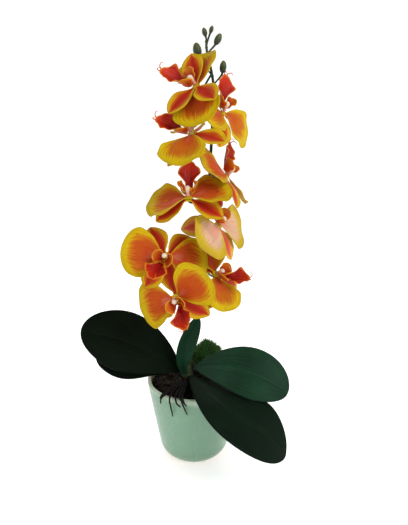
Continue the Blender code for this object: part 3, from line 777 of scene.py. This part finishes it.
def make_column(name, matrix, finishes):
    """The column: a waisted club that leans over the lip, with a rounded cap at its end."""
    shape = new_shape()
    spots = {}
    for vertex in bmesh.ops.create_uvsphere(shape, u_segments=20, v_segments=18, radius=1.0)["verts"]:
        x, y, z = vertex.co
        along, ring = (z + 1) / 2, math.hypot(x, y)
        spots[vertex] = (math.atan2(y, x) / (2 * math.pi) + 0.5, along)
        swell = 0.0023 - 0.0006 * bell(along, 0.35, 0.2) + 0.0004 * bell(along, 0.85, 0.15)
        flat = min(1.0, ring * 1.5) / max(ring, 1e-6) if ring > 1e-6 else 1.0
        lean = y * flat * swell * 0.9 - 0.0022 * along**2
        vertex.co = matrix @ Vector((x * flat * swell, lean, COLUMN_BASE + COLUMN_LENGTH * along))
    mark(shape, spots)
    cap = matrix @ Matrix.Translation((0, -0.0030, COLUMN_BASE + COLUMN_LENGTH - 0.0020))
    spots = {}
    for vertex in bmesh.ops.create_uvsphere(shape, u_segments=14, v_segments=10, radius=1.0)["verts"]:
        x, y, z = vertex.co
        notch = 1 - 0.28 * bell(x, 0, 0.25) * max(0.0, -y)
        vertex.co = cap @ Vector((x * 0.0019, y * 0.0016 * notch, z * 0.0018))
        spots[vertex] = (0.5, 1.0)
    mark(shape, spots)
    settle(f"{name}_column_club", shape, [finishes["column"]], [f"{name}_column"])


# ---------------------------------------------------------------- spike, buds, crown, roots
def make_spike(finishes):
    """The spike and the stalks of its flowers and buds, with a swollen joint and a bract wherever one leaves it."""
    shape = new_shape()
    route = smooth_route(SPIKE_ROUTE, 8)
    sweep(shape, route, taper(SPIKE_FOOT_RADIUS, SPIKE_TIP_RADIUS, len(route)), 14)
    for flower in FLOWERS:
        matrix = flower_matrix(flower)
        facing = matrix.to_3x3() @ Vector((0, 0, 1))
        start, growth = point_on_route(route, flower.spike_z)
        end = matrix @ Vector((0, 0, BACK_DEPTH - CAD_SHEET / 2 + 0.0003))
        stalk = bezier_route(start, start + growth * 0.006, end - facing * 0.012, end, 16)
        swell = [1 + 0.35 * bell(k / 16, 1.0, 0.15) + 0.25 * bell(k / 16, 0, 0.08) for k in range(17)]
        sweep(shape, stalk, [PEDICEL_RADIUS * share for share in swell], 10)
        add_bract(shape, start, growth, stalk[3] - start)
    for bud in BUDS:
        axis = Vector(bud.axis).normalized()
        start, growth = point_on_route(route, bud.spike_z)
        end = Vector(bud.centre) - axis * bud.length * 0.44
        stalk = bezier_route(start, start + growth * 0.003, end - axis * 0.004, end, 10)
        sweep(shape, stalk, [PEDICEL_RADIUS * (0.75 + 0.3 * (k / 10) ** 3) for k in range(11)], 8)
        add_bract(shape, start, growth, stalk[3] - start, 0.75)
    for height in (0.132, 0.168, 0.204):
        start, growth = point_on_route(route, height)
        add_bract(shape, start, growth, Vector((0.3 if height > 0.15 else -0.5, -0.8, 0.5)), 1.2)
    settle("flower_spike", shape, [finishes["stem"]], ["spike"])


def add_bract(shape, start, growth, outward, size=1.0):
    """A swollen joint on the spike, and the small pointed scale that clasps it on its outer side."""
    radius = 0.0014 + SPIKE_FOOT_RADIUS * (0.52 - start.z) * 1.6
    swell = Matrix.Translation(start) @ stand(growth) @ Matrix.Diagonal((radius, radius, 0.0016 * size, 1.0))
    bmesh.ops.create_uvsphere(shape, u_segments=12, v_segments=8, radius=1.0, matrix=swell)
    outward = outward.normalized()
    lean = (growth + outward * 0.45).normalized()
    scale = Matrix.Translation(start + outward * radius * 0.7 + growth * 0.0020 * size) @ stand(lean)
    bmesh.ops.create_cone(
        shape, cap_ends=True, segments=10, radius1=0.0016 * size, radius2=0.0002, depth=0.0062 * size,
        matrix=scale @ Matrix.Diagonal((1.0, 0.6, 1.0, 1.0)),
    )


def make_bud(number, bud, finishes):
    """A bud: an egg of three clasped sepals with a pointed tip."""
    shape, spots = new_shape(), {}
    turn = Matrix.Translation(bud.centre) @ stand(Vector(bud.axis))
    for vertex in bmesh.ops.create_uvsphere(shape, u_segments=30, v_segments=20, radius=0.5)["verts"]:
        x, y, z = vertex.co
        angle, along = math.atan2(y, x), z + 0.5
        lobe = 1 + 0.07 * abs(math.cos(1.5 * angle)) - 0.22 * max(0.0, along - 0.55)
        spots[vertex] = (angle / (2 * math.pi) + 0.5, along)
        vertex.co = turn @ Vector((x * bud.width * lobe, y * bud.width * lobe, z * bud.length))
    mark(shape, spots)
    settle(f"bud_{number}_closed", shape, [finishes["bud"]], [f"bud_{number}"])


def make_crown(finishes):
    """The short stout stem, ridged where the leaf sheaths clasp it."""
    foot = POT_HEIGHT - MIX_DEPTH_BELOW_RIM + MIX_CROWN_RISE - 0.002
    shape = new_shape()
    for vertex in bmesh.ops.create_uvsphere(shape, u_segments=48, v_segments=24, radius=1.0)["verts"]:
        x, y, z = vertex.co
        angle, share = math.atan2(y, x), (z + 1) / 2
        ring = min(1.0, math.hypot(x, y) * 1.35)
        ridge = 1 + 0.06 * math.cos(5 * angle + 3 * share) + 0.04 * math.sin(share * 22)
        radius = CROWN_RADIUS * (1 - 0.42 * share) * ring * ridge
        height = foot + (CROWN_TOP + 0.0015 - foot) * share
        vertex.co = CROWN_AT + Vector((radius * math.cos(angle), radius * math.sin(angle), height))
    settle("crown_sheaths", shape, [finishes["stem"]], ["crown"])


def make_root(number, points, finishes):
    """A wiry aerial root that wanders a little and thins towards its tip."""
    shape = new_shape()
    route = smooth_route(points, 12)
    count = len(route) - 1
    for k, point in enumerate(route):
        point += noise.noise_vector(point * 120 + Vector((number, 0, 0))) * 0.0005 * min(1.0, k / 8)
    lumps = [1 + 0.10 * noise.noise(Vector((k * 0.9, number, 0))) for k in range(count + 1)]
    radii = [thick * lump for thick, lump in zip(taper(ROOT_RADIUS, 0.45 * ROOT_RADIUS, count + 1), lumps)]
    radii[-1] *= 0.4
    sweep(shape, route, radii, 10)
    settle(f"root_{number}_wire", shape, [finishes["root"]], [f"root_{number}"])


# ---------------------------------------------------------------- leaves
def make_leaf(number, leaf, finishes):
    """A strap leaf with a sunken midrib, faint lengthwise ribs and a slightly waved edge."""
    foot, middle, tip = Vector(leaf.foot), Vector(leaf.middle), Vector(leaf.tip)
    pull = middle * 2 - (foot + tip) / 2
    face = Vector(leaf.face).normalized()
    shape, spots = new_shape(), {}
    narrow = leaf.width < 0.03
    for vertex in bmesh.ops.create_grid(shape, x_segments=36, y_segments=80, size=1.0)["verts"]:
        across, along = vertex.co.x, (1 - math.cos(math.pi * (vertex.co.y + 1) / 2)) / 2
        rib = foot * (1 - along) ** 2 + pull * 2 * along * (1 - along) + tip * along**2
        growth = ((pull - foot) * (1 - along) + (tip - pull) * along).normalized()
        side = growth.cross(face).normalized()
        normal = side.cross(growth)
        profile = outline(along, 0.50, 0.30)
        half = max(0.004 if along < 0.3 else 0.0005, leaf.width / 2 * profile)
        spread = across * profile
        if not narrow:
            half *= 1 + 0.012 * math.sin(9 * along + 2 * number + (1.5 if across > 0 else 0))
        height = math.sqrt(across**2 + 0.0009) * half * leaf.fold
        height -= (0.0003 if narrow else 0.0011) * bell(across, 0, 0.07) * math.sin(math.pi * along)
        height += 0.00010 * math.cos(across * 9 * math.pi) * math.sin(math.pi * along)
        if not narrow:
            wave = 0.0013 * abs(spread) ** 3 * math.sin(along * 7.5 + number * 1.9 + spread)
            wave += 0.0012 * noise.noise(Vector((spread * 1.3 + 7 * number, along * 2.4, number)))
            height += wave * min(1.0, 3 * along)
        vertex.co = rib + side * across * half + normal * height
        spots[vertex] = ((across + 1) / 2, along)
    mark(shape, spots)
    # The tone picks this leaf's finish, with its painted light and shade.
    cloth = finishes[f"leaf_{leaf.tone}"]
    settle(f"leaf_{number}_blade", shape, [cloth], [f"leaf_{number}"], LEAF_SHEET)


# ---------------------------------------------------------------- pot, mix and moss
def side_radius(height):
    return POT_BASE_RADIUS + (POT_RIM_RADIUS - POT_BASE_RADIUS) * height / POT_HEIGHT


SLOPE = math.atan2(POT_RIM_RADIUS - POT_BASE_RADIUS, POT_HEIGHT)
FOOT_X = side_radius(POT_FOOT_ROUNDING) - POT_FOOT_ROUNDING / math.cos(SLOPE)
MIX_TOP = POT_HEIGHT - MIX_DEPTH_BELOW_RIM
MIX_WALL = side_radius(MIX_TOP) - (POT_WALL + 2 * GAP) / math.cos(SLOPE)


def arc(centre_x, centre_z, radius, start, end, steps):
    angles = [start + (end - start) * k / steps for k in range(steps + 1)]
    return [(centre_x + radius * math.cos(a), centre_z + radius * math.sin(a)) for a in angles]


def turn_profile(shape, profile, steps):
    """Spins a profile of (radius, height) points round the pot's axis, and closes its poles."""
    corners = [shape.verts.new((radius, 0.0, height)) for radius, height in profile]
    edges = [shape.edges.new(pair) for pair in zip(corners, corners[1:])]
    bmesh.ops.spin(
        shape, geom=corners + edges, cent=(0, 0, 0), axis=(0, 0, 1), angle=2 * math.pi, steps=steps, use_merge=True
    )
    bmesh.ops.remove_doubles(shape, verts=shape.verts, dist=1e-6)


def make_pot(finishes):
    """The turned pot, with one glaze outside and on the rim, and another inside."""
    rim_round, inner_rounding = POT_WALL / 2, POT_FOOT_ROUNDING - POT_WALL
    rim_x = side_radius(POT_HEIGHT - rim_round) - rim_round / math.cos(SLOPE)
    profile = [(0.0, POT_WALL)]
    profile += arc(FOOT_X, POT_FOOT_ROUNDING, inner_rounding, -math.pi / 2, -SLOPE, 12)
    profile += arc(rim_x, POT_HEIGHT - rim_round, rim_round, math.pi - SLOPE, -SLOPE, 16)
    profile += arc(FOOT_X, POT_FOOT_ROUNDING, POT_FOOT_ROUNDING, -SLOPE, -math.pi / 2, 20)
    profile += [(0.0, 0.0)]
    shape = new_shape()
    turn_profile(shape, profile, 144)
    for face in shape.faces:
        middle = face.calc_center_median()
        within = math.hypot(middle.x, middle.y) < side_radius(middle.z) - POT_WALL * 0.75 and middle.z > POT_WALL * 0.5
        face.material_index = 1 if within else 0
    settle("pot_glazed", shape, [finishes["glaze"], finishes["glaze_inside"]], ["pot"], sharp=50)


def heap_height(reach):
    """Height of the mix at a distance from the pot's axis."""
    share = reach / MIX_WALL
    return MIX_TOP + MIX_CROWN_RISE * max(0.0, 1 - share**1.8) * 0.92


def make_mix(finishes):
    """The bark mix: a rough body in the pot, and the loose chips that cover it."""
    profile = [(MIX_WALL * k / 24, heap_height(MIX_WALL * k / 24)) for k in range(25)]
    profile += arc(FOOT_X, POT_FOOT_ROUNDING, POT_FOOT_ROUNDING - POT_WALL - 2 * GAP, -SLOPE, -math.pi / 2, 8)
    profile += [(0.0, POT_WALL + 2 * GAP)]
    shape = new_shape()
    turn_profile(shape, profile, 96)
    mark(shape, {vertex: (0.15, 0.0) for vertex in shape.verts})
    dice = random.Random(11)
    chips = []
    for _ in range(BARK_CHIPS):
        reach, angle = (MIX_WALL - 0.0035) * math.sqrt(dice.random()), dice.uniform(0, 2 * math.pi)
        height = heap_height(reach) + dice.uniform(-0.0006, 0.0012)
        spot = Vector((reach * math.cos(angle), reach * math.sin(angle), height))
        size = Vector((dice.uniform(0.004, 0.010), dice.uniform(0.003, 0.006), dice.uniform(0.0012, 0.0028)))
        turn = Matrix.Rotation(dice.uniform(0, 2 * math.pi), 4, "Z")
        turn = turn @ Matrix.Rotation(dice.uniform(-0.4, 0.4), 4, "X")
        turn = turn @ Matrix.Rotation(dice.uniform(-0.35, 0.35), 4, "Y")
        place = Matrix.Translation(spot) @ turn @ Matrix.Diagonal((*size, 1.0))
        made = bmesh.ops.create_cube(shape, size=1.0, matrix=place)["verts"]
        tone = dice.uniform(0.2, 0.95)
        mark(shape, {vertex: (tone, 1.0) for vertex in made})
        chips += made
    edges = list({edge for vertex in chips for edge in vertex.link_edges})
    bmesh.ops.bevel(shape, geom=edges, offset=0.0004, segments=1, profile=0.5, affect="EDGES", material=-1)
    for vertex in shape.verts:
        if vertex.co.z > MIX_TOP - 0.001 and math.hypot(vertex.co.x, vertex.co.y) < MIX_WALL - 0.001:
            vertex.co += noise.noise_vector(vertex.co * 330) * 0.0007
    settle("bark_mix", shape, [finishes["bark"]], ["potting_mix"], sharp=35)


def make_moss(finishes):
    """A lumpy cushion of moss, covered with short strands."""
    shape, spots = new_shape(), {}
    roots = []
    for vertex in bmesh.ops.create_icosphere(shape, subdivisions=4, radius=1.0)["verts"]:
        x, y, z = vertex.co
        lump = 1 + 0.10 * math.sin(7 * x + 2) * math.sin(6 * y + 1) + 0.08 * math.sin(9 * z + 4 * x)
        lump += 0.06 * noise.noise(Vector((x, y, z)) * 5)
        out = Vector((x / MOSS_SIZE.x, y / MOSS_SIZE.y, z / MOSS_SIZE.z)).normalized()
        round_spot = Vector((x * MOSS_SIZE.x, y * MOSS_SIZE.y, max(z, -0.55) * MOSS_SIZE.z))
        vertex.co = MOSS_CENTRE + round_spot * lump * 0.93
        spots[vertex] = (0.5, 0.25)
        if z > -0.4:
            roots.append((vertex.co.copy(), out))
    mark(shape, spots)
    dice = random.Random(5)
    for spot, out in roots:
        stray = Vector((dice.uniform(-0.6, 0.6), dice.uniform(-0.6, 0.6), dice.uniform(-0.2, 0.8)))
        lean = (out + stray).normalized()
        length = dice.uniform(0.0028, 0.0052)
        place = Matrix.Translation(spot + lean * length * 0.35) @ stand(lean)
        made = bmesh.ops.create_cone(
            shape, cap_ends=True, segments=4, radius1=0.00055, radius2=0.00008, depth=length, matrix=place
        )["verts"]
        mark(shape, {v: (0.5, 0.35 + 0.6 * ((v.co - spot).dot(lean) > length * 0.4)) for v in made})
    settle("moss_cushion", shape, [finishes["moss"]], ["moss"], sharp=70)


# ---------------------------------------------------------------- the whole plant
# Each tone: petal heart, middle, body, outer part, margin and veins; then sepal stripe, body and margin.
TONES = {
    "vivid": (
        ((0.42, 0.100, 0.045), (0.40, 0.044, 0.007), (0.40, 0.064, 0.005)),
        ((0.43, 0.155, 0.004), (0.48, 0.345, 0.003), (0.32, 0.020, 0.004)),
        ((0.34, 0.016, 0.006), (0.43, 0.080, 0.007), (0.51, 0.33, 0.006)),
    ),
    "golden": (
        ((0.44, 0.090, 0.035), (0.40, 0.056, 0.007), (0.41, 0.102, 0.006)),
        ((0.45, 0.200, 0.005), (0.52, 0.380, 0.004), (0.36, 0.035, 0.006)),
        ((0.37, 0.020, 0.006), (0.46, 0.110, 0.009), (0.55, 0.38, 0.008)),
    ),
    "rosy": (
        ((0.52, 0.150, 0.090), (0.43, 0.052, 0.020), (0.42, 0.074, 0.012)),
        ((0.45, 0.180, 0.010), (0.50, 0.350, 0.007), (0.36, 0.024, 0.010)),
        ((0.40, 0.028, 0.014), (0.46, 0.100, 0.018), (0.55, 0.37, 0.010)),
    ),
    "pale": (
        ((0.60, 0.250, 0.180), (0.53, 0.280, 0.190), (0.54, 0.350, 0.220)),
        ((0.49, 0.330, 0.085), (0.44, 0.320, 0.012), (0.50, 0.150, 0.090)),
        ((0.50, 0.070, 0.040), (0.60, 0.240, 0.090), (0.58, 0.39, 0.030)),
    ),
}
finishes = {
    "lip_tongue": lip_finish("lip_tongue", (0.30, 0.006, 0.003), (0.50, 0.024, 0.003), (0.60, 0.190, 0.006), 0.5),
    "lip_ear": lip_finish("lip_ear", (0.46, 0.045, 0.005), (0.56, 0.160, 0.008), (0.58, 0.260, 0.010), 1.5),
    "tendril": lip_finish("lip_tendril", (0.45, 0.020, 0.004), (0.48, 0.045, 0.004), (0.50, 0.090, 0.005), 2.5),
    "column": column_finish(),
    # The three leaf finishes are lit and shaded copies of one leaf colour: leaf_dark holds painted shade and less
    # gloss, leaf_teal holds painted light and more gloss, and leaf_deep holds a shade between them.
    "leaf_dark": leaf_finish("leaf_dark", (0.0014, 0.0032, 0.0014), (0.0045, 0.0095, 0.0045), 0.03),
    "leaf_deep": leaf_finish("leaf_deep", (0.0008, 0.0035, 0.0015), (0.0045, 0.0170, 0.0075), 0.05),
    "leaf_teal": leaf_finish("leaf_teal", (0.0018, 0.0090, 0.0038), (0.0110, 0.0590, 0.0265), 0.09),
    "stem": stem_finish(),
    "bud": bud_finish(),
    "root": root_finish(),
    "glaze": glaze_finish("glaze_celadon", (0.34, 0.44, 0.32), (0.155, 0.285, 0.190), (0.150, 0.250, 0.152)),
    "glaze_inside": glaze_finish("glaze_inside", (0.50, 0.40, 0.27), (0.42, 0.30, 0.19), (0.35, 0.24, 0.15)),
    "bark": bark_finish(),
    "moss": moss_finish(),
}
for order, (tone, (inner, outer, sepal)) in enumerate(TONES.items(), 1):
    finishes[f"petal_{tone}"] = petal_finish(f"petal_{tone}", *inner, *outer, float(order))
    finishes[f"sepal_{tone}"] = sepal_finish(f"sepal_{tone}", *sepal, order + 0.5)

place_camera()
set_studio()
make_pot(finishes)
make_mix(finishes)
make_moss(finishes)
make_crown(finishes)
make_spike(finishes)
for number, leaf in enumerate(LEAVES, 1):
    make_leaf(number, leaf, finishes)
for number, flower in enumerate(FLOWERS, 1):
    make_flower(number, flower, finishes)
for number, bud in enumerate(BUDS, 1):
    make_bud(number, bud, finishes)
for number, points in enumerate(ROOTS, 1):
    make_root(number, points, finishes)
